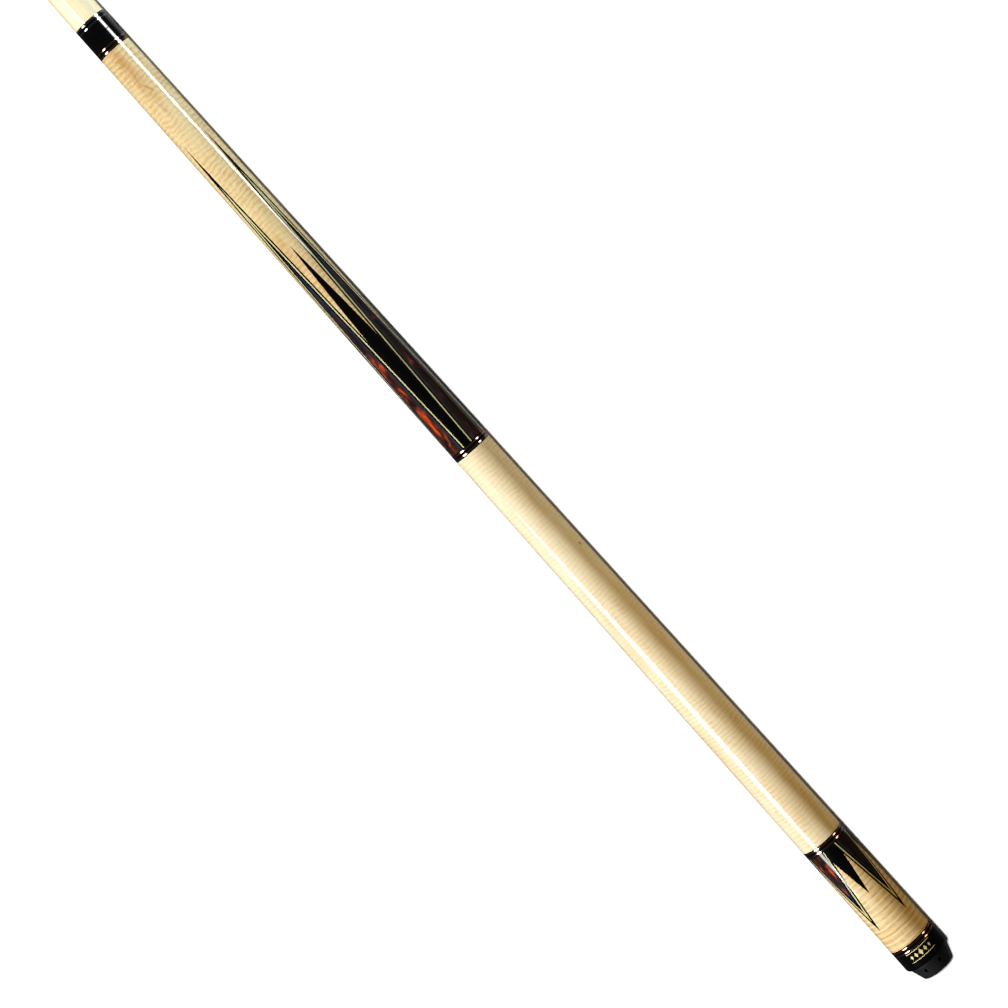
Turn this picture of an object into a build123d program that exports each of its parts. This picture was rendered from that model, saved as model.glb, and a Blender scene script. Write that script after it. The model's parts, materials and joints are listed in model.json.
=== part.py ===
from build123d import *
import os
from math import sqrt

# Two-piece pool cue, screwed together, lying along +X.
# Origin: centre of the flat end of the rubber bumper. +X runs to the tip, +Z is up.
# All sizes are in millimetres.

# ---- outside taper of the butt -------------------------------------------------
butt_length = 736.6             # joint face to the rear of the butt cap, 29 in
shaft_length = 736.6            # joint face to the top of the tip, 29 in
joint_radius = 10.5
butt_radius = 15.1

# ---- stations along the cue, counted from the bumper's end ---------------------
bumper_proud = 10.2
joint_x = bumper_proud + butt_length
cap_rear_x = bumper_proud
sleeve_rear_x = 26.5            # rear end of the butt sleeve, where it meets the cap rings
sleeve_front_x = 102.2
handle_rear_x = 107.05
handle_front_x = 420.6
forearm_rear_x = 425.45
forearm_front_x = 735.05        # where the forearm meets the joint rings

# ---- decorative rings ----------------------------------------------------------
metal_ring = 0.8                # width of one metal ring
ring_gap = 1.75                 # black spacer between two metal rings
ring_margin = 0.75              # black trim between a metal ring and the wood
joint_ring_margin = 0.5         # the same beside the joint

# ---- spliced points: four long veneered points and four short ebony ones --------
points_turn = -2.3              # angle of the first ebony point from +Z, about +X
veneer_steps = [1.35, 0.95, 1.45, 1.0]   # radial depth that each veneer takes up
veneer_names = ["veneer_outer_black", "veneer_natural", "veneer_inner_black", "veneer_blue"]

forearm_long_tip_x = 666.9
forearm_long_slope = 0.036      # drop of the groove's floor for each millimetre of length
forearm_ebony_tip_x = 583.0
forearm_ebony_slope = 0.053
sleeve_long_tip_x = 42.4
sleeve_long_slope = 0.174
sleeve_ebony_tip_x = 65.3
sleeve_ebony_slope = 0.177
cutter_lead = 60.0              # the groove cutter starts this far beyond the point's tip
cutter_overrun = 5.0            # and ends this far past the end of the blank
cutter_reach = 40.0             # height and half width of the cutter

# ---- fastenings inside ----------------------------------------------------------
joint_tenon_radius = 7.5        # wood inside the joint collars
cap_tenon_radius = 9.5          # wood inside the butt cap
stud_radius = 6.0
stud_depth = 25.0               # how far each stud goes into the forearm and handle
sleeve_stud_depth = 18.0
pin_radius = 4.76               # 3/8 in joint pin, over its threads
pin_embedded = 30.0
pin_proud = 32.0
pin_nose = 1.5
insert_radius = 6.35
insert_length = 36.0
insert_inset = 0.3              # the insert stands this far behind the shaft's face
insert_bore_slack = 1.0         # room in the wood behind the insert
running = 0.05                  # radial clearance of a fit that turns or slides

# ---- shaft ---------------------------------------------------------------------
collar_length = 10.55
collar_break = 0.3              # small bevel round both faces of the joint
shaft_tip_radius = 6.5
slope_at_joint = -0.0100        # change of radius for each millimetre of length
slope_at_ferrule = -0.0006
ferrule_length = 25.4
ferrule_tenon_radius = 4.0
ferrule_tenon_length = 19.0
pad_thickness = 0.9
tip_height = 6.1
tip_side = 3.0                  # straight side of the tip below its dome

# ---- butt cap and its inlay ------------------------------------------------------
cap_round = 1.8
motif_depth = 0.25
motif_x = 18.4                  # the row of lozenges goes round the cap here
motif_turn = -4.0
lozenge_half_length = 2.2       # along the cue
lozenge_half_width = 1.4
lozenge_places = [(-26, 0.65), (-13.5, 0.8), (0, 1.0), (13.5, 0.8), (26, 0.65)]   # angle and scale
motif_line_offset = 3.1         # each thin line from the row
motif_line_width = 0.4
motif_line_span = 35.0          # half of the angle that a line covers

# ---- bumper and weight bolt --------------------------------------------------------
bumper_outline = [(0.85, 10.35), (9.55, 13.25), (10.2, 13.3)]   # (x, radius) from the rounded end forward
bumper_flat_radius = 9.1
bumper_round_through = (0.25, 9.85)    # a point on the rounded edge of the end
bumper_stem_length = 13.0
bumper_stem_radius = 6.30
dimple_radius = 1.4
dimple_depth = 2.2
dimple_x = 6.25
dimple_surface_radius = 12.15   # radius of the bumper's side at the dimples
dimple_turn = 21.2
dimple_count = 7
weight_radius = 6.30
weight_length = 40.0
weight_chamfer = 0.8
weight_x = 27.0                 # rear end of the weight bolt
weight_bore_end_x = 80.0
hex_key = 6.0                   # across flats
hex_depth = 7.0


def radius_at(x):
    """Outside radius of the butt, and of the shaft collar that carries its line on."""
    return joint_radius + (butt_radius - joint_radius) * (joint_x - x) / butt_length


def turned(points):
    """A solid of revolution about X from a closed outline of (x, radius) points."""
    outline = make_face(Polyline(*[(x, r) for x, r in points], close=True))
    return revolve(outline, Axis.X)


def taper(x0, x1, bore=0.0):
    """A length of the cue between two stations, with the cue's own outside."""
    return turned([(x0, bore), (x1, bore), (x1, radius_at(x1)), (x0, radius_at(x0))])


def rod(x0, x1, radius):
    return turned([(x0, 0), (x1, 0), (x1, radius), (x0, radius)])


def joint_end(x0):
    """A black collar from x0 to the joint face, with a small bevel round that face."""
    toward = 1 if x0 < joint_x else -1
    edge_x = joint_x - toward * collar_break
    return turned([(x0, joint_tenon_radius), (joint_x, joint_tenon_radius), (joint_x, radius_at(joint_x) - collar_break),
                   (edge_x, radius_at(edge_x)), (x0, radius_at(x0))])


def ring_stack(x0, direction, inner, count, margin):
    """Metal rings and black spacers from x0 in the given direction, spacer first."""
    widths = [margin, metal_ring, ring_gap, metal_ring, margin][:count]
    rings = []
    spacers = []
    x = x0
    for index, width in enumerate(widths):
        next_x = x + direction * width
        piece = taper(min(x, next_x), max(x, next_x), inner)
        if index % 2:
            rings.append(piece)
        else:
            spacers.append(piece)
        x = next_x
    return rings, spacers, x


def groove(tip_x, end_x, slope, depth_offset):
    """A 90 degree V groove opening along +Z, whose floor drops from tip_x to end_x."""
    toward = 1 if end_x > tip_x else -1
    start_x = tip_x - toward * cutter_lead
    finish_x = end_x + toward * cutter_overrun
    floor = radius_at(tip_x) + slope * cutter_lead + depth_offset
    run = abs(finish_x - start_x)
    top = floor + cutter_reach
    section = Plane(origin=(start_x, 0, 0), x_dir=(0, 1, 0), z_dir=(1, 0, 0))
    face = section * make_face(Polyline((0, floor), (cutter_reach, top), (-cutter_reach, top), close=True))
    path = Vector(toward * run, 0, -slope * run)
    return extrude(face, amount=path.length, dir=path.normalized())


def around(shape, first, count=4):
    return [shape.rotate(Axis.X, first + index * 360.0 / count) for index in range(count)]


def solids_of(shapes):
    found = []
    for shape in shapes:
        found.extend(shape.solids())
    return found


def splice(blank, long_tip_x, long_slope, ebony_tip_x, ebony_slope, end_x):
    """Cuts the point grooves in a maple blank and fills them with inlays.

    Returns the maple and a dictionary of inlays: ebony, core and the four veneers.
    """
    long_turn = points_turn + 45.0
    offsets = [0.0]
    for step in veneer_steps:
        offsets.append(offsets[-1] + step)
    long_grooves = [around(groove(long_tip_x, end_x, long_slope, offset), long_turn) for offset in offsets]
    ebony_grooves = around(groove(ebony_tip_x, end_x, ebony_slope, 0.0), points_turn)

    maple = blank - ebony_grooves - long_grooves[0]
    inlays = {"ebony_points": [(blank & cut) - long_grooves[0] for cut in ebony_grooves]}
    filled = [[blank & cut for cut in layer] for layer in long_grooves]
    for index, name in enumerate(veneer_names):
        pairs = zip(filled[index], long_grooves[index + 1])
        inlays[name] = [piece - inner for piece, inner in pairs]
    inlays["core_points"] = filled[-1]
    return maple, inlays


def make_forearm():
    stud_end_x = forearm_rear_x + stud_depth
    blank = taper(forearm_rear_x, forearm_front_x) - rod(forearm_rear_x, stud_end_x, stud_radius)
    maple, inlays = splice(blank, forearm_long_tip_x, forearm_long_slope,
                           forearm_ebony_tip_x, forearm_ebony_slope, forearm_rear_x)
    maple = maple + rod(forearm_front_x, joint_x, joint_tenon_radius)
    maple = maple - rod(joint_x - pin_embedded, joint_x, pin_radius)
    return maple, inlays


def make_sleeve():
    bore = weight_radius + running
    stud_x = sleeve_front_x - sleeve_stud_depth
    blank = taper(sleeve_rear_x, sleeve_front_x) - rod(stud_x, sleeve_front_x, stud_radius)
    maple, inlays = splice(blank, sleeve_long_tip_x, sleeve_long_slope,
                           sleeve_ebony_tip_x, sleeve_ebony_slope, sleeve_front_x)
    maple = maple + rod(cap_rear_x, sleeve_rear_x, cap_tenon_radius)
    maple = maple - rod(cap_rear_x, weight_bore_end_x, bore)
    return maple, inlays


def make_handle():
    handle = taper(handle_rear_x, handle_front_x)
    handle = handle - rod(handle_rear_x, handle_rear_x + stud_depth, stud_radius)
    return handle - rod(handle_front_x - stud_depth, handle_front_x, stud_radius)


def make_joint_pin():
    x0 = joint_x - pin_embedded
    x1 = joint_x + pin_proud
    nose_radius = pin_radius - pin_nose
    return turned([(x0, 0), (x0, pin_radius), (x1 - pin_nose, pin_radius), (x1, nose_radius), (x1, 0)])


def motif_cutters():
    """A generic row of lozenges between two thin lines, as radial cutters."""
    reach = 2 * butt_radius
    cutters = []
    for place, scale in lozenge_places:
        half_length = lozenge_half_length * scale
        half_width = lozenge_half_width * scale
        corners = [(half_length, 0), (0, half_width), (-half_length, 0), (0, -half_width)]
        lozenge = make_face(Polyline(*corners, close=True))
        blade = Pos(motif_x, 0, 0) * extrude(lozenge, amount=reach)
        cutters.append(blade.rotate(Axis.X, motif_turn + place))
    quadrant = Plane.YZ * make_face(Polyline((0, 0), (-reach, reach), (reach, reach), close=True))
    trim = 45 - motif_line_span
    for side in (-1, 1):
        line_x = motif_x + side * motif_line_offset - motif_line_width / 2
        slab = Pos(line_x, 0, 0) * extrude(quadrant, amount=motif_line_width)
        cutters.append(slab.rotate(Axis.X, motif_turn + trim) & slab.rotate(Axis.X, motif_turn - trim))
    return cutters


def make_cap(front_x):
    cap = taper(cap_rear_x, front_x, cap_tenon_radius)
    rim = cap.edges().filter_by(GeomType.CIRCLE).group_by(Axis.X)[0].sort_by(SortBy.RADIUS)[-1]
    cap = fillet(rim, cap_round)
    inner = turned([(cap_rear_x, 0), (front_x, 0), (front_x, radius_at(front_x) - motif_depth),
                    (cap_rear_x, radius_at(cap_rear_x) - motif_depth)])
    skin = cap - inner
    motif = [skin & cutter for cutter in motif_cutters()]
    return cap - motif, motif


def make_bumper():
    stem_end = bumper_proud + bumper_stem_length
    lines = [
        Polyline((0, 0), (0, bumper_flat_radius)),
        ThreePointArc((0, bumper_flat_radius), bumper_round_through, bumper_outline[0]),
        Polyline(*bumper_outline, (bumper_proud, bumper_stem_radius), (stem_end, bumper_stem_radius),
                 (stem_end, 0), (0, 0)),
    ]
    bumper = revolve(make_face(Curve() + lines), Axis.X)
    floor = dimple_surface_radius - dimple_depth
    up = (Align.CENTER, Align.CENTER, Align.MIN)
    drill = Pos(dimple_x, 0, floor) * Cylinder(dimple_radius, 2 * dimple_depth, align=up)
    return bumper - around(drill, dimple_turn, dimple_count)


def make_weight_bolt():
    bolt = rod(weight_x, weight_x + weight_length, weight_radius)
    rims = bolt.edges().filter_by(GeomType.CIRCLE)
    bolt = chamfer(rims, weight_chamfer)
    socket = extrude(Plane.YZ * RegularPolygon(hex_key / sqrt(3), 6), amount=hex_depth)
    return bolt - Pos(weight_x, 0, 0) * socket


def make_shaft_wood(wood_x, ferrule_x, tenon_end):
    wood_radius = radius_at(wood_x)
    side = Spline((wood_x, wood_radius), (ferrule_x, shaft_tip_radius),
                  tangents=[(1, slope_at_joint, 0), (1, slope_at_ferrule, 0)])
    lines = [
        Polyline((joint_x, 0), (joint_x, joint_tenon_radius), (wood_x, joint_tenon_radius), (wood_x, wood_radius)),
        side,
        Polyline((ferrule_x, shaft_tip_radius), (ferrule_x, ferrule_tenon_radius),
                 (tenon_end, ferrule_tenon_radius), (tenon_end, 0), (joint_x, 0)),
    ]
    wood = revolve(make_face(Curve() + lines), Axis.X)
    return wood - rod(joint_x, joint_x + insert_length + insert_bore_slack, insert_radius + running)


def make_ferrule(x0, tenon_end):
    return rod(x0, x0 + ferrule_length, shaft_tip_radius) - rod(x0, tenon_end, ferrule_tenon_radius)


def make_tip(x0):
    dome_height = tip_height - tip_side
    dome_radius = (shaft_tip_radius ** 2 + dome_height ** 2) / (2 * dome_height)
    dome = Pos(x0 + tip_height - dome_radius, 0, 0) * Rot(0, 90, 0) * Sphere(dome_radius)
    return rod(x0, x0 + tip_height, shaft_tip_radius) & dome


def make_insert():
    x0 = joint_x + insert_inset
    x1 = joint_x + insert_length
    return rod(x0, x1, insert_radius) - rod(x0, x1, pin_radius + running)


nodes = {}

# butt, from the bumper forward
nodes["bumper"] = [make_bumper()]
nodes["weight_bolt"] = [make_weight_bolt()]
nodes["butt_sleeve"], sleeve_inlays = make_sleeve()
rings, spacers, cap_front_x = ring_stack(sleeve_rear_x, -1, cap_tenon_radius, 4, ring_margin)
nodes["cap_rings"] = rings
nodes["cap_ring_spacers"] = spacers
nodes["butt_cap"], nodes["cap_motif"] = make_cap(cap_front_x)
nodes["sleeve_rings"], nodes["sleeve_ring_spacers"], _ = ring_stack(sleeve_front_x, 1, stud_radius, 5, ring_margin)
nodes["sleeve_stud"] = [rod(sleeve_front_x - sleeve_stud_depth, handle_rear_x + stud_depth, stud_radius)]
nodes["handle"] = [make_handle()]
nodes["forearm_rings"], nodes["forearm_ring_spacers"], _ = ring_stack(handle_front_x, 1, stud_radius, 5, ring_margin)
nodes["forearm_stud"] = [rod(handle_front_x - stud_depth, forearm_rear_x + stud_depth, stud_radius)]
nodes["forearm"], forearm_inlays = make_forearm()
for prefix, inlays in (("forearm", forearm_inlays), ("sleeve", sleeve_inlays)):
    for name, pieces in inlays.items():
        nodes[f"{prefix}_{name}"] = pieces
rings, spacers, collar_x = ring_stack(forearm_front_x, 1, joint_tenon_radius, 4, joint_ring_margin)
nodes["joint_rings"] = rings
nodes["joint_ring_spacers"] = spacers
nodes["joint_collar"] = [joint_end(collar_x)]
nodes["joint_pin"] = [make_joint_pin()]

# shaft, from the joint forward
wood_x = joint_x + collar_length
ferrule_x = joint_x + shaft_length - tip_height - pad_thickness - ferrule_length
tenon_end = ferrule_x + ferrule_tenon_length
pad_x = ferrule_x + ferrule_length
nodes["shaft_insert"] = [make_insert()]
nodes["shaft_wood"] = [make_shaft_wood(wood_x, ferrule_x, tenon_end)]
rings, spacers, shaft_collar_end = ring_stack(wood_x, -1, joint_tenon_radius, 4, joint_ring_margin)
nodes["shaft_rings"] = rings
nodes["shaft_ring_spacers"] = spacers
nodes["shaft_collar"] = [joint_end(shaft_collar_end)]
nodes["ferrule"] = [make_ferrule(ferrule_x, tenon_end)]
nodes["tip_pad"] = [rod(pad_x, pad_x + pad_thickness, shaft_tip_radius)]
nodes["tip"] = [make_tip(pad_x + pad_thickness)]

os.makedirs("parts", exist_ok=True)
for name, shapes in nodes.items():
    pieces = solids_of(shapes if isinstance(shapes, list) else [shapes])
    shape = pieces[0] if len(pieces) == 1 else Compound(children=pieces)
    export_step(shape, f"parts/{name}.step")
    print(name, len(pieces))
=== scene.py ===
import json
import math

import bmesh
import bpy
from mathutils import Matrix, Vector

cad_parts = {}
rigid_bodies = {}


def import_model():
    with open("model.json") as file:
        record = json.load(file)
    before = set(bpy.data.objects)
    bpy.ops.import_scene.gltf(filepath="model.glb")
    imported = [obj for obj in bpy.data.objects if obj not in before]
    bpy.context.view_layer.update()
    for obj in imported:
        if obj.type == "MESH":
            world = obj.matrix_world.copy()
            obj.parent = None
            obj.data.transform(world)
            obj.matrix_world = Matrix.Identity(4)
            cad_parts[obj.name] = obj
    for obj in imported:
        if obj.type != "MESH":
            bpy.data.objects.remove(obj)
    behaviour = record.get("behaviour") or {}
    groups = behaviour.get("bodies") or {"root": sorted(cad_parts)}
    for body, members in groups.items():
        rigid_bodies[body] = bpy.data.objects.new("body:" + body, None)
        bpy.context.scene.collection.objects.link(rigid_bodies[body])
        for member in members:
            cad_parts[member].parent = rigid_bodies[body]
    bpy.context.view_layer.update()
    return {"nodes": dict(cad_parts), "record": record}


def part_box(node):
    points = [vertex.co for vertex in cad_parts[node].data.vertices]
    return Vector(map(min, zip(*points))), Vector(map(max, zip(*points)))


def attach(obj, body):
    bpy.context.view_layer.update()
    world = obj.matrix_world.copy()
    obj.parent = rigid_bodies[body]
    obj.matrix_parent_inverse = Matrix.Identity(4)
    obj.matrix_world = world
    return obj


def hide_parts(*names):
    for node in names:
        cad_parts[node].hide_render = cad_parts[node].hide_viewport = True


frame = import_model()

# Pool cue on a white table. Everything is in metres, with the cue along X: bumper at 0, tip at the far end.
print("frame loaded:", len(frame["nodes"]), "nodes")

fullTurn = 2 * math.pi

cue = {
    "jointRadius": 0.0105,
    "buttRadius": 0.0151,
    "segments": 192,
    "patternTurn": math.radians(-2.3),   # first ebony point, turned about X from straight up
    "pointCount": 4,                     # ebony points round the cue, with a long point between each two
}
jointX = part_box("joint_collar")[1].x
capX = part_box("butt_cap")[0].x
cueSlope = (cue["jointRadius"] - cue["buttRadius"]) / (jointX - capX)


def radiusAt(x):
    return cue["jointRadius"] + cueSlope * (x - jointX)


def around(angle):
    # unit vector at an angle about X, counted from straight up
    return Vector((0.0, -math.sin(angle), math.cos(angle)))


def newObject(name, data):
    obj = bpy.data.objects.new(name, data)
    bpy.context.scene.collection.objects.link(obj)
    return obj


camera = {
    "lens": 113.93,
    "sensorWidth": 36.0,
    "nearest": 0.05,
    "furthest": 50.0,
    "distance": 1.8956,
    "aimX": 0.38386,              # where the middle of the view meets the cue, along X
    "aimAside": 0.0080,           # and how far beside its axis
    "lean": math.radians(4.18),   # the bumper end is further away than the joint
    "roll": math.radians(48.12),
}


def makeCamera():
    look = Vector((-math.sin(camera["lean"]), 0.0, -math.cos(camera["lean"])))
    alongCue = Vector((-1.0, 0.0, 0.0))
    alongCue = (alongCue - look * alongCue.dot(look)).normalized()
    beside = Vector((0.0, -1.0, 0.0))
    c, s = math.cos(camera["roll"]), math.sin(camera["roll"])
    right = c * alongCue + s * beside
    up = -s * alongCue + c * beside
    aim = Vector((camera["aimX"], camera["aimAside"], 0.0))
    data = bpy.data.cameras.new("camera")
    data.lens = camera["lens"]
    data.sensor_width = camera["sensorWidth"]
    data.clip_start, data.clip_end = camera["nearest"], camera["furthest"]
    data.dof.use_dof = False
    obj = newObject("camera", data)
    turn = Matrix((right, up, -look)).transposed().to_4x4()
    obj.matrix_world = Matrix.Translation(aim - look * camera["distance"]) @ turn
    bpy.context.scene.camera = obj


makeCamera()


def addNode(tree, kind, values=None, **settings):
    # each value goes to an input: a socket is linked, and anything else is set
    node = tree.nodes.new(kind)
    for key, value in settings.items():
        setattr(node, key, value)
    for key, value in (values or {}).items():
        if isinstance(value, bpy.types.NodeSocket):
            tree.links.new(value, node.inputs[key])
        else:
            node.inputs[key].default_value = value
    return node


def newMaterial(name, **sockets):
    material = bpy.data.materials.new(name)
    material.use_nodes = True
    tree = material.node_tree
    shader = tree.nodes["Principled BSDF"]
    for key, value in sockets.items():
        shader.inputs[key.replace("_", " ")].default_value = value
    return material, tree, shader


def objectCoords(tree, scale, turn=(0.0, 0.0, 0.0), place=(0.0, 0.0, 0.0)):
    coords = addNode(tree, "ShaderNodeTexCoord")
    values = {"Vector": coords.outputs["Object"], "Scale": scale, "Rotation": turn, "Location": place}
    return addNode(tree, "ShaderNodeMapping", values).outputs["Vector"]


def noise(tree, vector, detail=2.0, roughness=0.5, distortion=0.0):
    # its size comes from the scale of the coordinates
    values = {"Vector": vector, "Scale": 1.0, "Detail": detail, "Roughness": roughness,
              "Distortion": distortion}
    return addNode(tree, "ShaderNodeTexNoise", values).outputs["Fac"]


def remap(tree, value, low, high, toLow=0.0, toHigh=1.0):
    values = {"Value": value, "From Min": low, "From Max": high, "To Min": toLow, "To Max": toHigh}
    return addNode(tree, "ShaderNodeMapRange", values, clamp=True).outputs["Result"]


def mixColour(tree, factor, first, second):
    values = {0: factor, 6: first, 7: second}   # its factor and its two colours
    return addNode(tree, "ShaderNodeMix", values, data_type="RGBA").outputs[2]


def maths(tree, operation, first, second):
    return addNode(tree, "ShaderNodeMath", {0: first, 1: second}, operation=operation).outputs[0]


def bump(tree, height, distance, strength):
    values = {"Height": height, "Distance": distance, "Strength": strength}
    return addNode(tree, "ShaderNodeBump", values).outputs["Normal"]


def colour(r, g, b):
    # 0-255 screen values to a linear colour
    linear = [((c / 255 + 0.055) / 1.055) ** 2.4 if c > 10 else c / 255 / 12.92 for c in (r, g, b)]
    return (*linear, 1.0)


lacquer = {"Coat Weight": 1.0, "Coat Roughness": 0.025, "Coat IOR": 1.5, "Specular IOR Level": 0.05}


def clearCoat(shader):
    for key, value in lacquer.items():
        shader.inputs[key].default_value = value


def curl(tree, period, wander, detailScale, place=(0.0, 0.0, 0.0)):
    # ripples across the grain, one every period along the cue
    values = {"Vector": objectCoords(tree, (1.0, 1.0, 1.0), place=place),
              "Scale": fullTurn / (20 * period), "Distortion": wander,
              "Detail": 2.0, "Detail Scale": detailScale, "Detail Roughness": 0.6}
    return addNode(tree, "ShaderNodeTexWave", values, wave_type="BANDS", bands_direction="X").outputs["Fac"]


def mark(tree, place, size, turn):
    # a soft spot or streak in the wood: 1 in its middle, 0 outside its half sizes
    coords = addNode(tree, "ShaderNodeTexCoord").outputs["Object"]
    values = {"Vector": coords, "Location": place, "Rotation": (0.0, 0.0, turn), "Scale": size}
    local = addNode(tree, "ShaderNodeMapping", values, vector_type="TEXTURE").outputs["Vector"]
    length = addNode(tree, "ShaderNodeVectorMath", {0: local}, operation="LENGTH").outputs["Value"]
    return remap(tree, length, 0.3, 1.0, 1.0, 0.0)


def curlyMaple(name, wood):
    material, tree, shader = newMaterial(name, Roughness=0.42)
    clearCoat(shader)
    ripple = curl(tree, wood["curlPeriod"], wood["curlWander"], 0.9)
    smallRipple = curl(tree, wood["curlPeriod"] * 0.58, wood["curlWander"] * 1.4, 1.3,
                       place=(0.31, 0.02, 0.07))
    ripple = mixColour(tree, 0.35, ripple, smallRipple)
    broken = noise(tree, objectCoords(tree, (90.0, 260.0, 260.0)), detail=3.0, roughness=0.6)
    ripple = maths(tree, "MULTIPLY", ripple, remap(tree, broken, 0.3, 0.62, 0.35, 1.0))
    patches = noise(tree, objectCoords(tree, (16.0, 60.0, 60.0)), detail=2.0)
    strength = remap(tree, patches, 0.36, 0.62, wood["curlLow"], wood["curlHigh"])
    figured = mixColour(tree, maths(tree, "MULTIPLY", ripple, strength), wood["pale"], wood["deep"])
    broad = noise(tree, objectCoords(tree, (14.0, 75.0, 75.0), place=(3.0, 1.0, 2.0)), detail=4.0,
                  roughness=0.55)
    figured = mixColour(tree, remap(tree, broad, 0.5, 0.72, 0.0, wood["blotch"]), figured, wood["amber"])
    grain = noise(tree, objectCoords(tree, (18.0, 620.0, 620.0), turn=(0.0, 0.04, 0.05)), detail=3.0,
                  roughness=0.65)
    figured = mixColour(tree, remap(tree, grain, 0.48, 0.75, 0.0, wood["grain"]), figured, wood["deep"])
    flecks = noise(tree, objectCoords(tree, (190.0, 2300.0, 2300.0)), detail=1.0)
    figured = mixColour(tree, remap(tree, flecks, 0.68, 0.75, 0.0, 0.3), figured, wood["amber"])
    for place, size, turn, darkness in wood["marks"]:
        spot = maths(tree, "MULTIPLY", mark(tree, place, size, turn), darkness)
        figured = mixColour(tree, spot, figured, wood["knot"])
    tree.links.new(figured, shader.inputs["Base Color"])
    tree.links.new(bump(tree, ripple, 0.0002, 0.08), shader.inputs["Normal"])
    return material


def cocobolo():
    material, tree, shader = newMaterial("cocobolo", Roughness=0.4)
    clearCoat(shader)
    coords = objectCoords(tree, (1.0, 1.0, 1.0))
    side = addNode(tree, "ShaderNodeSeparateXYZ", {"Vector": coords}).outputs["Y"]
    litSideRed = remap(tree, side, -0.010, 0.010, -0.14, 0.04)   # painted light: the points on the lit +Y side, facing the key lamp, are made redder, and those on the shaded side darker
    streaks = noise(tree, objectCoords(tree, (75.0, 420.0, 420.0), turn=(0.0, 0.0, 0.35)), detail=4.0,
                    roughness=0.6, distortion=0.4)
    patchCoords = objectCoords(tree, (85.0, 210.0, 210.0), turn=(0.0, 0.2, 0.5), place=(5.0, 2.0, 0.0))
    patches = noise(tree, patchCoords, detail=3.0, distortion=0.5)
    # painted light: the red patches grow on the lit side and shrink on the shaded side
    patches = maths(tree, "ADD", patches, litSideRed)
    brown = mixColour(tree, remap(tree, streaks, 0.38, 0.66), colour(16, 12, 12), colour(52, 33, 27))
    red = mixColour(tree, remap(tree, patches, 0.44, 0.60), brown, colour(104, 47, 31))
    red = mixColour(tree, remap(tree, patches, 0.56, 0.69), red, colour(206, 78, 30))
    ember = noise(tree, objectCoords(tree, (90.0, 420.0, 420.0), turn=(0.0, 0.0, 0.5)), detail=3.0)
    red = mixColour(tree, remap(tree, ember, 0.45, 0.60, 0.0, 0.85), red, colour(30, 19, 16))
    tree.links.new(red, shader.inputs["Base Color"])
    return material


def blackWood(name, tone, grainTone):
    material, tree, shader = newMaterial(name, Roughness=0.4)
    clearCoat(shader)
    grain = noise(tree, objectCoords(tree, (25.0, 700.0, 700.0)), detail=3.0)
    tree.links.new(mixColour(tree, remap(tree, grain, 0.5, 0.8), tone, grainTone),
                   shader.inputs["Base Color"])
    return material


def dyedVeneer(name, tone, deepTone):
    material, tree, shader = newMaterial(name, Roughness=0.4)
    clearCoat(shader)
    grain = noise(tree, objectCoords(tree, (40.0, 1500.0, 1500.0)), detail=2.0)
    tree.links.new(mixColour(tree, remap(tree, grain, 0.35, 0.7), tone, deepTone),
                   shader.inputs["Base Color"])
    return material


def blackPhenolic():
    material, tree, shader = newMaterial("blackPhenolic", Roughness=0.2)
    clearCoat(shader)
    haze = noise(tree, objectCoords(tree, (300.0, 300.0, 300.0)), detail=3.0)
    tree.links.new(mixColour(tree, haze, colour(3, 3, 4), colour(9, 9, 10)), shader.inputs["Base Color"])
    return material


def ringMetal(name, tone, deepTone, roughness):
    material, tree, shader = newMaterial(name, Metallic=0.99, Roughness=roughness)
    turning = noise(tree, objectCoords(tree, (6000.0, 40.0, 40.0)), detail=2.0)
    tree.links.new(mixColour(tree, turning, tone, deepTone), shader.inputs["Base Color"])
    tree.links.new(bump(tree, turning, 0.00001, 0.4), shader.inputs["Normal"])
    return material


def machinedMetal(name, tone, deepTone, roughness):
    material, tree, shader = newMaterial(name, Metallic=1.0, Roughness=roughness)
    turning = noise(tree, objectCoords(tree, (5000.0, 30.0, 30.0)), detail=3.0)
    tree.links.new(mixColour(tree, turning, tone, deepTone), shader.inputs["Base Color"])
    tree.links.new(remap(tree, turning, 0.3, 0.7, roughness - 0.06, roughness + 0.1),
                   shader.inputs["Roughness"])
    tree.links.new(bump(tree, turning, 0.00002, 0.5), shader.inputs["Normal"])
    return material


def goldLeaf():
    material, tree, shader = newMaterial("goldLeaf", Metallic=0.05, Roughness=0.35)
    clearCoat(shader)
    wear = noise(tree, objectCoords(tree, (1200.0, 1200.0, 1200.0)), detail=3.0)
    tree.links.new(mixColour(tree, wear, colour(255, 250, 200), colour(240, 220, 140)),
                   shader.inputs["Base Color"])
    return material


def mouldedRubber():
    material, tree, shader = newMaterial("mouldedRubber", Roughness=0.55)
    fine = noise(tree, objectCoords(tree, (2500.0, 2500.0, 2500.0)), detail=3.0)
    wide = noise(tree, objectCoords(tree, (160.0, 160.0, 160.0)), detail=2.0)
    tree.links.new(mixColour(tree, wide, colour(17, 17, 18), colour(29, 29, 30)),
                   shader.inputs["Base Color"])
    tree.links.new(remap(tree, fine, 0.3, 0.7, 0.45, 0.65), shader.inputs["Roughness"])
    tree.links.new(bump(tree, fine, 0.00005, 0.5), shader.inputs["Normal"])
    return material


def shaftMaple():
    material, tree, shader = newMaterial("shaftMaple", Roughness=0.17)
    shader.inputs["Specular IOR Level"].default_value = 0.6
    grain = noise(tree, objectCoords(tree, (6.0, 420.0, 420.0)), detail=4.0, roughness=0.6)
    tone = mixColour(tree, remap(tree, grain, 0.35, 0.7), colour(254, 237, 196), colour(248, 223, 176))
    flecks = noise(tree, objectCoords(tree, (90.0, 1800.0, 1800.0)), detail=1.0)
    tone = mixColour(tree, remap(tree, flecks, 0.64, 0.74, 0.0, 0.3), tone, colour(196, 158, 108))
    tree.links.new(tone, shader.inputs["Base Color"])
    return material


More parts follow.
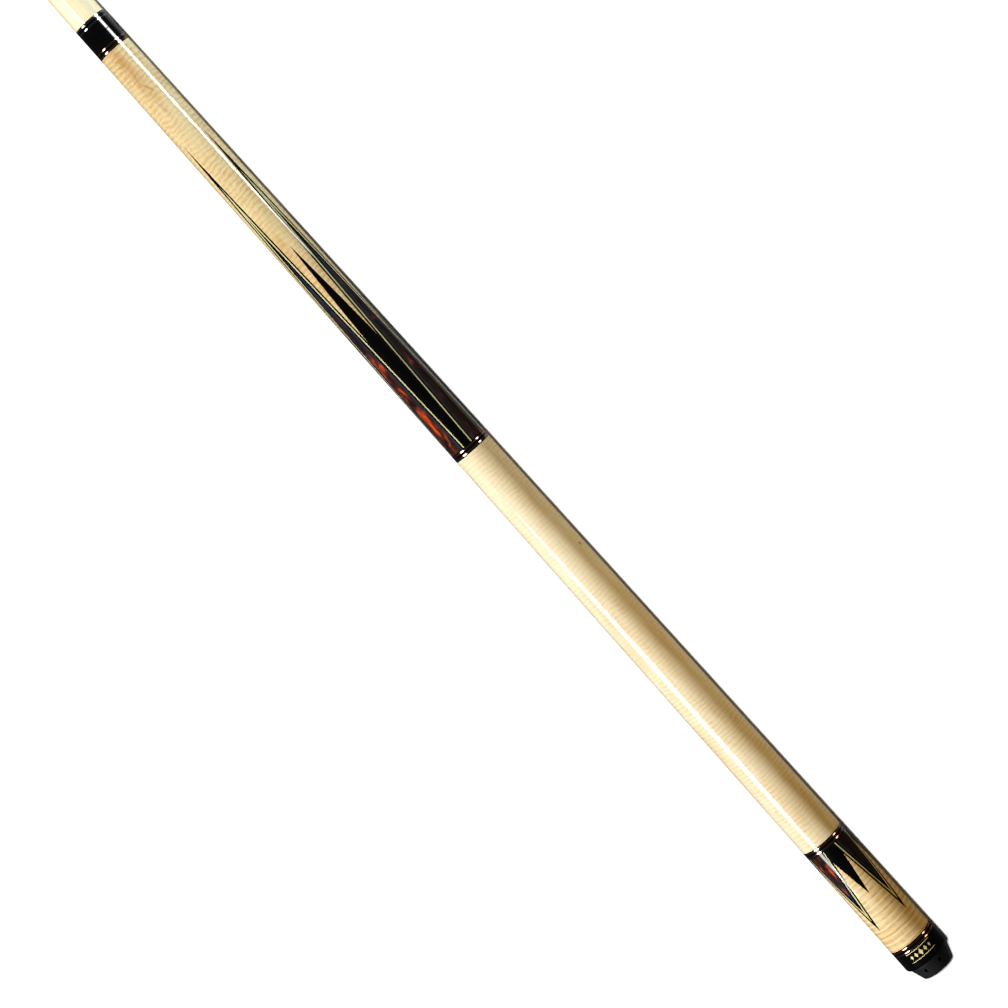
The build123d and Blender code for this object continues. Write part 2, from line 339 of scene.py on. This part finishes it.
def ferruleResin():
    material, tree, shader = newMaterial("ferruleResin", Roughness=0.25)
    linen = noise(tree, objectCoords(tree, (900.0, 2600.0, 2600.0)), detail=3.0)
    tree.links.new(mixColour(tree, linen, colour(240, 236, 224), colour(226, 220, 202)),
                   shader.inputs["Base Color"])
    tree.links.new(bump(tree, linen, 0.00002, 0.4), shader.inputs["Normal"])
    return material


def fibrePad():
    material, tree, shader = newMaterial("fibrePad", Roughness=0.6)
    fibres = noise(tree, objectCoords(tree, (2500.0, 1200.0, 1200.0)), detail=4.0)
    tree.links.new(mixColour(tree, fibres, colour(18, 18, 20), colour(44, 42, 44)),
                   shader.inputs["Base Color"])
    tree.links.new(bump(tree, fibres, 0.00005, 0.5), shader.inputs["Normal"])
    return material


def layeredLeather():
    material, tree, shader = newMaterial("layeredLeather", Roughness=0.6)
    layers = noise(tree, objectCoords(tree, (1500.0, 60.0, 60.0)), detail=1.0)
    fibres = noise(tree, objectCoords(tree, (1800.0, 1800.0, 1800.0)), detail=4.0)
    tone = mixColour(tree, remap(tree, layers, 0.42, 0.58), colour(150, 104, 66), colour(96, 62, 38))
    tone = mixColour(tree, remap(tree, fibres, 0.4, 0.7, 0.0, 0.5), tone, colour(72, 46, 30))
    tree.links.new(tone, shader.inputs["Base Color"])
    tree.links.new(bump(tree, fibres, 0.0001, 0.6), shader.inputs["Normal"])
    return material


# each of a wood's marks has its place, half sizes, turn about Z and darkness
handleMaple = curlyMaple("handleMaple", {
    "pale": colour(252, 243, 214), "deep": colour(230, 196, 132), "amber": colour(216, 176, 108),
    "knot": colour(150, 92, 44), "curlPeriod": 0.0028, "curlWander": 5.0, "curlLow": 0.3, "curlHigh": 0.85,
    "blotch": 0.4, "grain": 0.22,
    "marks": [((0.337, -0.0101, 0.0083), (0.0020, 0.0008, 0.0012), 0.0, 0.85)]})   # a pin knot
forearmMaple = curlyMaple("forearmMaple", {
    "pale": colour(239, 221, 172), "deep": colour(206, 158, 95), "amber": colour(190, 138, 74),
    "knot": colour(184, 128, 62), "curlPeriod": 0.0032, "curlWander": 6.5, "curlLow": 0.45, "curlHigh": 1.0,
    "blotch": 0.55, "grain": 0.3, "marks": [
        ((0.7049, 0.0003, 0.0107), (0.0060, 0.0009, 0.004), 0.44, 0.65),
        ((0.7255, 0.0026, 0.0100), (0.0042, 0.0016, 0.004), 0.1, 0.4),
        ((0.7130, 0.0024, 0.0102), (0.0080, 0.0013, 0.004), -0.1, 0.35),
        ((0.6900, 0.0018, 0.0105), (0.0070, 0.0012, 0.004), 0.15, 0.25),
        ((0.7130, 0.0012, 0.0103), (0.0330, 0.0048, 0.006), 0.0, 0.28)]})
sleeveMaple = curlyMaple("sleeveMaple", {
    "pale": colour(252, 236, 190), "deep": colour(216, 164, 90), "amber": colour(204, 154, 84),
    "knot": colour(150, 104, 52), "curlPeriod": 0.0036, "curlWander": 2.2, "curlLow": 0.8, "curlHigh": 1.0,
    "blotch": 0.15, "grain": 0.15, "marks": []})
finishes = {
    "cocobolo": cocobolo(),
    "ebony": blackWood("ebony", colour(3, 3, 3), colour(9, 7, 7)),
    "veneer_black": blackWood("veneerBlack", colour(5, 5, 8), colour(14, 10, 12)),
    "veneer_natural": dyedVeneer("veneerNatural", colour(230, 226, 170), colour(196, 194, 136)),
    "veneer_blue": dyedVeneer("veneerBlue", colour(40, 54, 82), colour(22, 30, 50)),
    "black_phenolic": blackPhenolic(),
    "copper": ringMetal("copper", colour(236, 184, 162), colour(184, 134, 116), 0.12),
    "silver": ringMetal("silver", colour(222, 222, 224), colour(150, 150, 154), 0.12),
    "gold": goldLeaf(),
    "rubber": mouldedRubber(),
    "steel": machinedMetal("steel", colour(190, 190, 194), colour(140, 141, 146), 0.3),
    "brass": machinedMetal("brass", colour(214, 182, 106), colour(168, 132, 66), 0.28),
    "shaft_maple": shaftMaple(),
    "ferrule_white": ferruleResin(),
    "fibre_pad": fibrePad(),
    "tip_leather": layeredLeather(),
    "figured_maple": handleMaple,
}
print("finishes made:", len(finishes) + 2)   # with the forearm's and the sleeve's maple


def wholeOf(mesh):
    return mesh.verts[:] + mesh.edges[:] + mesh.faces[:]


def lathe(outline, sweep=fullTurn):
    # closed outline of (x, radius) points, turned about X from straight up
    mesh = bmesh.new()
    verts = [mesh.verts.new((x, 0.0, r)) for x, r in outline]
    full = sweep == fullTurn
    if full:
        # an edge on the axis sweeps nothing, so it is left out
        pairs = zip(verts, verts[1:] + verts[:1])
        geom = verts + [mesh.edges.new(pair) for pair in pairs if max(v.co.z for v in pair) > 1e-7]
    else:
        side = mesh.faces.new(verts)
        geom = verts + side.edges[:] + [side]
    steps = round(cue["segments"] * sweep / fullTurn)
    bmesh.ops.spin(mesh, geom=geom, cent=(0, 0, 0), axis=(1, 0, 0), angle=sweep, steps=steps,
                   use_merge=full)
    bmesh.ops.remove_doubles(mesh, verts=mesh.verts, dist=1e-6)
    return mesh


def closeHoles(mesh):
    edges = [e for e in mesh.edges if e.is_boundary]
    if edges:
        bmesh.ops.holes_fill(mesh, edges=edges, sides=0)


def keepSide(mesh, wall, inside=True):
    # cuts along a wall and keeps the side that its normal points to, or the other side
    point, inward = wall
    bmesh.ops.bisect_plane(mesh, geom=wholeOf(mesh), dist=1e-7, plane_co=point, plane_no=inward,
                           clear_inner=inside, clear_outer=not inside)
    closeHoles(mesh)


def repeatAround(mesh):
    copies = cue["pointCount"] - 1
    bmesh.ops.spin(mesh, geom=wholeOf(mesh), cent=(0, 0, 0), axis=(1, 0, 0),
                   angle=fullTurn / cue["pointCount"] * copies, steps=copies, use_duplicate=True)


def dropWalls(mesh, flanks):
    # copies that meet in one of these planes share a wall inside the piece, and it goes
    walls = [face for face in mesh.faces
             if any(all(abs(v.co.dot(flank)) < 1e-6 for v in face.verts) for flank in flanks)]
    bmesh.ops.delete(mesh, geom=walls, context="FACES")


def addTo(mesh, other):
    part = bpy.data.meshes.new("part")
    other.to_mesh(part)
    mesh.from_mesh(part)
    bpy.data.meshes.remove(part)
    other.free()


def turnedNormals(data):
    # faces that lie on the cue's outside take the exact normal of its taper
    normals = []
    for face in data.polygons:
        points = [data.vertices[v].co for v in face.vertices]
        radii = [math.hypot(*co.yz) for co in points]
        onSkin = abs(face.normal.x) < 0.2 and all(abs(r - radiusAt(co.x)) < 4e-6
                                                  for r, co in zip(radii, points))
        for r, co in zip(radii, points):
            normals.append(Vector((-cueSlope, co.y / r, co.z / r)).normalized()
                           if onSkin else face.normal.copy())
    data.normals_split_custom_set(normals)


def finishPiece(name, mesh, material, body, nodes, onTaper=False, sharpAngle=30.0):
    bmesh.ops.recalc_face_normals(mesh, faces=mesh.faces)
    for face in mesh.faces:
        face.smooth = True
    for edge in mesh.edges:
        edge.smooth = len(edge.link_faces) == 2 and edge.calc_face_angle(0.0) < math.radians(sharpAngle)
    data = bpy.data.meshes.new(name)
    mesh.to_mesh(data)
    mesh.free()
    if onTaper:
        turnedNormals(data)
    obj = newObject(name, data)
    data.materials.append(material)
    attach(obj, body)
    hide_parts(*nodes)


def grooveWall(turn, side, tipX, depth, slope):
    # one wall of a V groove: a point on it, and its normal into the groove
    along = around(turn)
    across = around(turn + math.pi / 2)
    point = Vector((tipX, 0.0, 0.0)) + along * (radiusAt(tipX) + depth)
    return point, Vector((-slope, 0.0, 0.0)) + along - across * side


def splicedSection(prefix, piece, blankOutline, mapleOutline, mapleMaterial, mapleNode):
    towardTip = piece["towardTip"]
    end = 1 if towardTip > 0 else 0
    tipOf = lambda node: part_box(prefix + "_" + node)[end].x
    longTip = tipOf("veneer_outer_black")
    layers = ["veneer_outer_black", "veneer_natural", "veneer_inner_black", "veneer_blue", "core_points"]
    pitch = piece["longSlope"] - cueSlope * towardTip
    depths = [abs(tipOf(layer) - longTip) * pitch for layer in layers]
    slope = piece["longSlope"] * towardTip
    halfStep = math.pi / cue["pointCount"]   # from an ebony point to the long point beside it

    ebonyTip = tipOf("ebony_points")
    ebonyWalls = [grooveWall(0.0, side, ebonyTip, 0.0, piece["ebonySlope"] * towardTip) for side in (1, -1)]
    rightWall = grooveWall(halfStep, -1, longTip, 0.0, slope)
    leftWall = grooveWall(-halfStep, 1, longTip, 0.0, slope)

    # maple: from the middle of an ebony point to the middle of a long point, mirrored and repeated
    maple = lathe(mapleOutline, halfStep)
    keepSide(maple, ebonyWalls[0], inside=False)
    keepSide(maple, rightWall, inside=False)
    dropWalls(maple, (around(math.pi / 2), around(halfStep + math.pi / 2)))
    bmesh.ops.mirror(maple, geom=wholeOf(maple), matrix=Matrix.Identity(4), merge_dist=1e-6, axis="Y")
    repeatAround(maple)
    pieces = [(mapleNode, maple, mapleMaterial, "figured_maple")]

    ebony = lathe(blankOutline)
    for wall in ebonyWalls:
        keepSide(ebony, wall)
    keepSide(ebony, rightWall, inside=False)
    keepSide(ebony, leftWall, inside=False)
    repeatAround(ebony)
    pieces.append((prefix + "_ebony_points", ebony, finishes["ebony"], "ebony"))

    slots = ["veneer_black", "veneer_natural", "veneer_black", "veneer_blue", "cocobolo"]
    for index, (layer, slotName) in enumerate(zip(layers, slots)):
        if layer == "core_points":
            point = lathe(blankOutline)
            for side in (1, -1):
                keepSide(point, grooveWall(halfStep, side, longTip, depths[index], slope))
        else:
            # two flat strips that meet in a mitre at the bottom of the groove
            point = bmesh.new()
            for side in (1, -1):
                strip = lathe(blankOutline)
                keepSide(strip, (Vector(), around(halfStep + math.pi / 2) * side))
                keepSide(strip, grooveWall(halfStep, side, longTip, depths[index], slope))
                keepSide(strip, grooveWall(halfStep, side, longTip, depths[index + 1], slope), inside=False)
                addTo(point, strip)
            dropWalls(point, (around(halfStep + math.pi / 2),))
        repeatAround(point)
        pieces.append((prefix + "_" + layer, point, finishes[slotName], slotName))

    turn = Matrix.Rotation(cue["patternTurn"], 3, "X")
    for node, mesh, material, slotName in pieces:
        bmesh.ops.remove_doubles(mesh, verts=mesh.verts, dist=2e-6)
        bmesh.ops.rotate(mesh, cent=(0, 0, 0), matrix=turn, verts=mesh.verts)
        finishPiece(node + "Turned", mesh, material, "butt", [node], onTaper=True)


forearm = {
    "longSlope": 0.036,     # how fast each groove gets deeper away from its tip
    "ebonySlope": 0.053,
    "towardTip": 1,         # the points lie towards the cue's tip
    "tenonRadius": 0.0075,
    "pinRadius": 0.00476,
}


def makeForearm():
    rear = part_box("forearm_veneer_outer_black")[0].x
    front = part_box("joint_ring_spacers")[0].x
    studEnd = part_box("forearm_stud")[1].x
    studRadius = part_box("forearm_stud")[1].z
    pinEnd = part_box("joint_pin")[0].x
    bore = [(studEnd, 0.0), (studEnd, studRadius), (rear, studRadius)]
    blank = bore + [(rear, radiusAt(rear)), (front, radiusAt(front)), (front, 0.0)]
    maple = bore + [(rear, radiusAt(rear)), (front, radiusAt(front)), (front, forearm["tenonRadius"]),
                    (jointX, forearm["tenonRadius"]), (jointX, forearm["pinRadius"]),
                    (pinEnd, forearm["pinRadius"]), (pinEnd, 0.0)]
    splicedSection("forearm", forearm, blank, maple, forearmMaple, "forearm")


makeForearm()
print("forearm spliced")


sleeve = {
    "longSlope": 0.174,
    "ebonySlope": 0.177,
    "towardTip": -1,        # the points lie towards the bumper
    "tenonRadius": 0.0095,
    "boltBore": 0.00635,
    "boreEnd": 0.080,
}


def makeSleeve():
    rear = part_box("cap_ring_spacers")[1].x
    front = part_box("sleeve_ring_spacers")[0].x
    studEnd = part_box("sleeve_stud")[0].x
    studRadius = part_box("sleeve_stud")[1].z
    bore = [(front, studRadius), (studEnd, studRadius), (studEnd, 0.0)]
    boltBore = sleeve["boltBore"]
    tail = [(sleeve["boreEnd"], 0.0), (sleeve["boreEnd"], boltBore)]
    blank = [(rear, boltBore), (rear, radiusAt(rear)), (front, radiusAt(front))] + bore + tail
    maple = [(capX, boltBore), (capX, sleeve["tenonRadius"]), (rear, sleeve["tenonRadius"]),
             (rear, radiusAt(rear)), (front, radiusAt(front))] + bore + tail
    splicedSection("sleeve", sleeve, blank, maple, sleeveMaple, "butt_sleeve")


makeSleeve()
print("butt sleeve spliced")


def makeHandle():
    low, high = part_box("handle")
    rearStud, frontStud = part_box("sleeve_stud"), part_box("forearm_stud")
    r = rearStud[1].z
    outline = [(low.x, r), (low.x, radiusAt(low.x)), (high.x, radiusAt(high.x)), (high.x, r),
               (frontStud[0].x, r), (frontStud[0].x, 0.0), (rearStud[1].x, 0.0), (rearStud[1].x, r)]
    finishPiece("handleTurned", lathe(outline), handleMaple, "butt", ["handle"],
                onTaper=True)


makeHandle()


shaft = {
    "tenonRadius": 0.0075,
    "boreRadius": 0.0064,
    "boreBeyond": 0.001,      # the bore goes this much deeper than the insert
    "ferruleTenon": 0.004,
    "tipRadius": 0.0065,
    "rearSlope": -0.0100,     # how fast it thins behind, and at the ferrule
    "frontSlope": -0.0006,
    "steps": 60,
}


def makeShaft():
    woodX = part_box("shaft_ring_spacers")[1].x
    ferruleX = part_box("ferrule")[0].x
    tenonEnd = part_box("shaft_wood")[1].x
    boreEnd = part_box("shaft_insert")[1].x + shaft["boreBeyond"]
    length = ferruleX - woodX
    startRadius = radiusAt(woodX)
    outline = [(jointX, shaft["boreRadius"]), (jointX, shaft["tenonRadius"]), (woodX, shaft["tenonRadius"])]
    for step in range(shaft["steps"] + 1):
        t = step / shaft["steps"]
        # cubic from the collar's taper to an almost straight front
        h0, h1 = 2 * t**3 - 3 * t**2 + 1, -2 * t**3 + 3 * t**2
        g0, g1 = t**3 - 2 * t**2 + t, t**3 - t**2
        bend = g0 * shaft["rearSlope"] + g1 * shaft["frontSlope"]
        outline.append((woodX + t * length, h0 * startRadius + h1 * shaft["tipRadius"] + length * bend))
    outline += [(ferruleX, shaft["ferruleTenon"]), (tenonEnd, shaft["ferruleTenon"]), (tenonEnd, 0.0),
                (boreEnd, 0.0), (boreEnd, shaft["boreRadius"])]
    finishPiece("shaftTurned", lathe(outline), finishes["shaft_maple"], "shaft",
                ["shaft_wood"])


makeShaft()
print("handle and shaft turned")


ring = {"width": 0.0008, "crown": 0.00006, "edge": 0.0001, "depth": 0.002, "steps": 6}


def makeRings(node, body, slotName):
    # two rings with a polished crown that stands slightly proud
    low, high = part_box(node)
    mesh = bmesh.new()
    for rear in (low.x, high.x - ring["width"]):
        front = rear + ring["width"]
        outer = radiusAt(rear)
        outline = [(rear, outer - ring["depth"]), (rear, outer)]
        for step in range(ring["steps"] + 1):
            t = step / ring["steps"]
            x = rear + ring["edge"] / 2 + t * (ring["width"] - ring["edge"])
            outline.append((x, radiusAt(x) + ring["crown"] * (1 - (2 * t - 1) ** 2)))
        outline += [(front, radiusAt(front)), (front, outer - ring["depth"])]
        addTo(mesh, lathe(outline))
    finishPiece(node + "Turned", mesh, finishes[slotName], body, [node], sharpAngle=40.0)


for ringNode in ("cap_rings", "sleeve_rings", "forearm_rings", "joint_rings"):
    makeRings(ringNode, "butt", "copper")
makeRings("shaft_rings", "shaft", "silver")
print("rings turned")


screw = {
    "pitch": 0.00254,
    "crest": 0.00476,
    "root": 0.0042,
    "stepsPerTurn": 48,
    "noseLength": 0.0025,
    "noseChamfer": 0.0012,
    "noseOverlap": 0.0005,   # the nose starts this far inside the thread
    "boreCrest": 0.00481,    # the same thread in the insert, with a little clearance
    "boreRoot": 0.0053,
    "tubeSteps": 96,
}


def thread(x0, x1, crest, root):
    # one turn's profile spun along a helix, then cut square at both ends
    pitch, steps = screw["pitch"], screw["stepsPerTurn"]
    start = x0 - 2 * pitch
    turns = math.ceil((x1 - x0) / pitch) + 4
    mesh = bmesh.new()
    profile = [(0.0, crest), (0.12, crest), (0.45, root), (0.55, root), (0.88, crest), (1.0, crest)]
    verts = [mesh.verts.new((start + share * pitch, 0.0, r)) for share, r in profile]
    edges = [mesh.edges.new(pair) for pair in zip(verts, verts[1:])]
    bmesh.ops.spin(mesh, geom=verts + edges, cent=(0, 0, 0), axis=(1, 0, 0), dvec=(pitch / steps, 0, 0),
                   angle=turns * fullTurn, steps=turns * steps)
    bmesh.ops.remove_doubles(mesh, verts=mesh.verts, dist=1e-6)
    for x, side in ((x0, -1), (x1, 1)):
        bmesh.ops.bisect_plane(mesh, geom=wholeOf(mesh), dist=1e-8, plane_co=(x, 0, 0),
                               plane_no=(side, 0, 0), clear_outer=True)
    return mesh


def makePin():
    low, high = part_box("joint_pin")
    shoulder = high.x - screw["noseLength"]
    mesh = thread(low.x, shoulder, screw["crest"], screw["root"])
    closeHoles(mesh)
    noseStart = shoulder - screw["noseOverlap"]
    chamfer = screw["noseChamfer"]
    addTo(mesh, lathe([(noseStart, 0.0), (noseStart, screw["root"]), (high.x - chamfer, screw["root"]),
                       (high.x, screw["root"] - chamfer), (high.x, 0.0)]))
    finishPiece("jointPinThreaded", mesh, finishes["steel"], "butt", ["joint_pin"])


makePin()


def makeInsert():
    # a brass sleeve with the same thread cut in its bore
    low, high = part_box("shaft_insert")
    mesh = thread(low.x, high.x, screw["boreCrest"], screw["boreRoot"])
    bmesh.ops.recalc_face_normals(mesh, faces=mesh.faces)
    verts = [mesh.verts.new((x, 0.0, high.z)) for x in (low.x, high.x)]
    bmesh.ops.spin(mesh, geom=verts + [mesh.edges.new(verts)], cent=(0, 0, 0), axis=(1, 0, 0),
                   angle=fullTurn, steps=screw["tubeSteps"], use_merge=True)
    bmesh.ops.remove_doubles(mesh, verts=mesh.verts, dist=1e-6)
    for x in (low.x, high.x):
        rims = [e for e in mesh.edges
                if e.is_boundary and all(abs(v.co.x - x) < 1e-6 for v in e.verts)]
        bmesh.ops.bridge_loops(mesh, edges=rims)
    finishPiece("insertThreaded", mesh, finishes["brass"], "shaft_insert", ["shaft_insert"])


makeInsert()
print("joint screw threaded")


# the pieces that stay as the CAD has them take the finish of their slot
slotOf = {part["node"]: part["material_slot"] for part in frame["record"]["subparts"]}
for nodeName, nodeObject in frame["nodes"].items():
    nodeObject.data.materials.clear()
    nodeObject.data.materials.append(finishes[slotOf[nodeName]])
print("CAD pieces finished")


studio = {
    "floorSize": 15.0,
    "floorDrop": 0.0002,
    "sunPower": 4.2,
    "sunAcross": math.radians(7.5),     # the table's own light leans a little, so the cue has a thin shadow
    "sunAlong": math.radians(17.0),
    "sunSoftness": math.radians(4.0),
    "worldGlow": 0.02,                  # the room's light on the cue
    "worldSeen": 1.05,                  # and how bright it looks past the table's edge
}


def makeFloor():
    capEdge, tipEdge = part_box("butt_cap"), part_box("tip")
    slope = (capEdge[0].z - tipEdge[0].z) / (tipEdge[1].x - capEdge[0].x)
    mesh = bmesh.new()
    bmesh.ops.create_grid(mesh, x_segments=2, y_segments=2, size=studio["floorSize"])
    data = bpy.data.meshes.new("tableTop")
    mesh.to_mesh(data)
    mesh.free()
    obj = newObject("tableTop", data)
    obj.location = (capEdge[0].x, 0.0, capEdge[0].z - studio["floorDrop"])
    obj.rotation_euler = (0.0, math.atan(slope), 0.0)
    material, tree, shader = newMaterial("paleTable", Roughness=0.9)
    shader.inputs["Specular IOR Level"].default_value = 0.0
    speckle = noise(tree, objectCoords(tree, (300.0, 300.0, 300.0)), detail=2.0)
    tree.links.new(mixColour(tree, speckle, (0.90, 0.90, 0.90, 1.0), (0.94, 0.94, 0.94, 1.0)),
                   shader.inputs["Base Color"])
    data.materials.append(material)
    obj.visible_diffuse = False
    obj.visible_glossy = False
    obj.visible_shadow = False
    return obj


def linkLight(light, objects, state):
    # a lamp that lights only these objects, or all but these
    links = bpy.data.collections.new(light.name + "Links")
    for obj in objects:
        links.objects.link(obj)
    for member in links.collection_objects:
        member.light_linking.link_state = state
    light.light_linking.receiver_collection = links


def tableSun():
    data = bpy.data.lights.new("tableSun", "SUN")
    data.energy = studio["sunPower"]
    data.angle = studio["sunSoftness"]
    obj = newObject("tableSun", data)
    travel = Vector((-math.tan(studio["sunAlong"]), -math.tan(studio["sunAcross"]), -1.0))
    obj.rotation_euler = travel.to_track_quat("-Z", "Y").to_euler()
    return obj


# a lamp's angle is in degrees about the cue, from straight above it, and "lights" says what it falls on:
# the whole cue, all but the shaft's wood, the shaft's wood alone, or the metal rings alone
lamps = {
    "keyLamp": {"lights": "cue", "angle": -58, "distance": 1.6, "along": (-0.9, 1.7), "width": 0.4,
                "power": 44.0, "tint": (1.0, 0.985, 0.95), "gloss": False},
    "handleStrip": {"lights": "cue", "angle": -57, "distance": 0.8, "along": (-0.115, 0.32), "width": 0.34,
                    "power": 5.0, "shape": "ELLIPSE", "diffuse": False},
    "jointLamp": {"lights": "cue", "angle": 60, "distance": 0.26, "along": (0.63, 1.50), "width": 0.2,
                  "power": 2.3, "tint": (0.72, 0.87, 1.0), "gloss": False},
    "warmFill": {"lights": "cue", "angle": 52, "distance": 0.5, "along": (0.1, 0.45), "width": 0.7,
                 "power": 1.1, "tint": (1.0, 0.65, 0.17), "gloss": False},
    "sideFill": {"lights": "cue", "angle": 105, "distance": 1.2, "along": (-0.6, 1.6), "width": 0.5,
                 "power": 1.4, "tint": (0.95, 0.92, 0.8), "gloss": False},
    "edgeGlow": {"lights": "cue", "angle": 135, "distance": 1.0, "along": (-0.12, 1.3), "width": 1.0,
                 "power": 1.15, "diffuse": False},
    "jointStrip": {"lights": "notShaft", "angle": 60, "distance": 0.8, "along": (0.597, 1.30),
                   "width": 0.28, "power": 11.0, "shape": "ELLIPSE", "diffuse": False},
    # the satin shaft takes a soft sheen in place of the strips
    "shaftSheen": {"lights": "shaft", "angle": -75, "distance": 0.8, "along": (0.7, 1.5), "width": 1.3,
                   "power": 11.0, "diffuse": False},
    "shaftStrip": {"lights": "shaft", "angle": -36, "distance": 0.8, "along": (0.7, 1.5), "width": 0.08,
                   "power": 4.5, "diffuse": False},
    # the crowned rings catch both lamps along the whole cue
    "ringGlintLeft": {"lights": "rings", "angle": -57, "distance": 0.8, "along": (-0.3, 1.3), "width": 0.3,
                      "power": 11.0, "diffuse": False},
    "ringGlintRight": {"lights": "rings", "angle": 60, "distance": 0.8, "along": (-0.3, 1.3), "width": 0.2,
                       "power": 5.0, "tint": (1.0, 0.86, 0.74), "diffuse": False},
}


def areaLight(name, lamp):
    # a long lamp beside the cue, facing its axis
    fromX, toX = lamp["along"]
    data = bpy.data.lights.new(name, "AREA")
    data.shape = lamp.get("shape", "RECTANGLE")
    data.size, data.size_y = abs(toX - fromX), lamp["width"]
    data.energy = lamp["power"]
    data.color = lamp.get("tint", (1.0, 1.0, 1.0))
    obj = newObject(name, data)
    away = around(math.radians(lamp["angle"]))
    along = Vector((1.0, 0.0, 0.0))
    place = away * lamp["distance"] + Vector(((fromX + toX) / 2, 0.0, 0.0))
    turn = Matrix((along, away.cross(along), away)).transposed().to_4x4()
    obj.matrix_world = Matrix.Translation(place) @ turn
    obj.visible_glossy = lamp.get("gloss", True)
    obj.visible_diffuse = lamp.get("diffuse", True)
    obj.visible_camera = False
    return obj


def makeLights(table):
    world = bpy.data.worlds.new("world")
    bpy.context.scene.world = world
    world.use_nodes = True
    tree = world.node_tree
    seen = addNode(tree, "ShaderNodeLightPath").outputs["Is Camera Ray"]
    background = tree.nodes["Background"]
    tree.links.new(remap(tree, seen, 0.0, 1.0, studio["worldGlow"], studio["worldSeen"]),
                   background.inputs["Strength"])
    background.inputs["Color"].default_value = (1.0, 1.0, 1.0, 1.0)
    linkLight(tableSun(), [table], "INCLUDE")

    rings = [obj for obj in bpy.data.objects if obj.name.endswith("_ringsTurned")]
    shaftWood = bpy.data.objects["shaftTurned"]
    reach = {
        "cue": ([table], "EXCLUDE"),
        "notShaft": ([table, shaftWood], "EXCLUDE"),
        "shaft": ([shaftWood], "INCLUDE"),
        "rings": (rings, "INCLUDE"),
    }
    for name, lamp in lamps.items():
        linkLight(areaLight(name, lamp), *reach[lamp["lights"]])


makeLights(makeFloor())
bpy.context.scene.view_settings.view_transform = "Standard"
print("floor and lights set")
